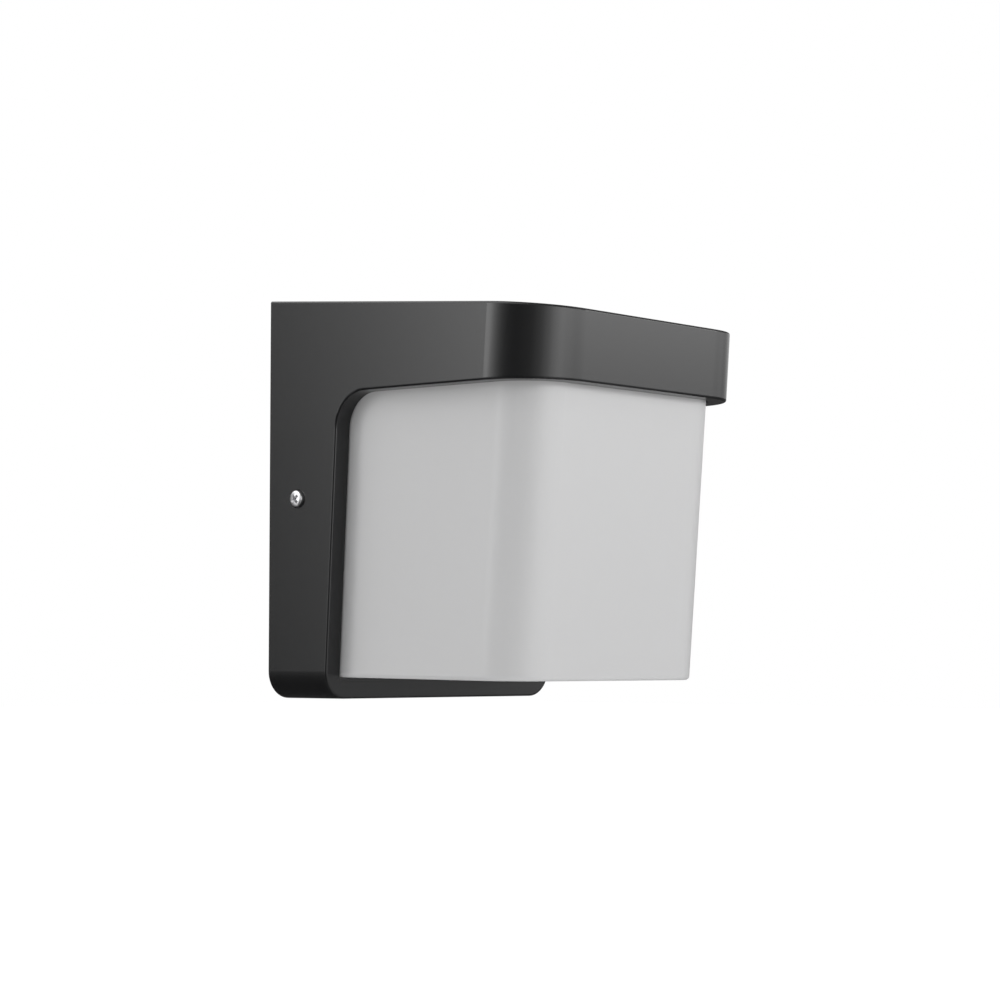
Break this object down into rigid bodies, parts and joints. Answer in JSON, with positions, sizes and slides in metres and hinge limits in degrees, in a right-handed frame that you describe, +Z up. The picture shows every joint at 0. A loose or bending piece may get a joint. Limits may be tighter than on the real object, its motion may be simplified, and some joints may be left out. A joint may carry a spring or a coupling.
{
  "type": "outdoor wall lantern",
  "caption": "Wall lantern: black back box and sloping roof in one moulding over an opal box diffuser; the cover pulls off a cast wall plate that carries lampholder and bulb.",
  "frame": {"origin": "middle of the two wall slots, on the wall plane", "axes": "+X to the right seen from the front, +Y into the wall, +Z up; the lantern stands out towards -Y"},
  "size_m": [0.149, 0.1623, 0.178],
  "materials": {
    "black_housing": "satin powder coat",
    "opal_diffuser": "satin opal",
    "cast_plate": "as cast",
    "rubber": "matt",
    "zinc_steel": "zinc plated",
    "side_screw": "bright",
    "white_paint": "matt white",
    "white_plastic": "satin",
    "opal_globe": "satin opal",
    "porcelain": "glazed",
    "brass": "plain",
    "nickel_cap": "nickel plated",
    "dark_insulator": "gloss",
    "circuit_board": "solder mask",
    "led_chip": "phosphor",
    "live_wire": "satin",
    "neutral_wire": "satin",
    "earth_wire": "satin"
  },
  "bodies": {
    "wall_side": {"wall_plate": "cast_plate", "cable_grommet": "rubber", "side_ears": "zinc_steel", "lampholder_bracket": "zinc_steel", "bracket_screws": "zinc_steel", "lampholder_screws": "zinc_steel", "reflector_pillars": "zinc_steel", "reflector_screws": "zinc_steel", "terminal_block_screws": "zinc_steel", "reflector_plate": "white_paint", "terminal_block": "white_plastic", "lampholder_body": "porcelain", "terminal_sleeves": "brass", "terminal_screws": "brass", "lampholder_shell": "brass", "lampholder_contact": "brass", "earth_screw": "brass", "earth_washer": "brass", "live_lead": "live_wire", "neutral_lead": "neutral_wire", "earth_lead": "earth_wire"},
    "cover": {"cover_housing": "black_housing", "rim_seal": "rubber", "diffuser": "opal_diffuser", "diffuser_gasket": "rubber", "diffuser_clips": "zinc_steel", "clip_screws": "zinc_steel", "square_nuts": "zinc_steel"},
    "bulb": {"bulb_centre_contact": "nickel_cap", "bulb_cap_insulator": "dark_insulator", "bulb_cap_shell": "nickel_cap", "bulb_housing": "white_plastic", "bulb_globe": "opal_globe", "bulb_led_board": "circuit_board", "bulb_leds": "led_chip", "bulb_driver_board": "circuit_board"},
    "left_screw": {"left_sealing_washer": "rubber", "left_cover_screw": "side_screw"},
    "right_screw": {"right_sealing_washer": "rubber", "right_cover_screw": "side_screw"}
  },
  "joints": [
    {"name": "cover_pull", "type": "slide", "parent": "wall_side", "child": "cover", "axis": [0, -1, 0], "range_m": [0, 0.15]},
    {"name": "bulb_turn", "type": "hinge", "parent": "wall_side", "child": "bulb", "pos_m": [0, -0.04, -0.0185], "axis": [0, -1, 0], "range_deg": [0, 900]},
    {"name": "left_screw_travel", "type": "slide", "parent": "cover", "child": "left_screw", "axis": [-1, 0, 0], "range_m": [0, 0.0028]},
    {"name": "right_screw_travel", "type": "slide", "parent": "cover", "child": "right_screw", "axis": [1, 0, 0], "range_m": [0, 0.0028]}
  ]
}
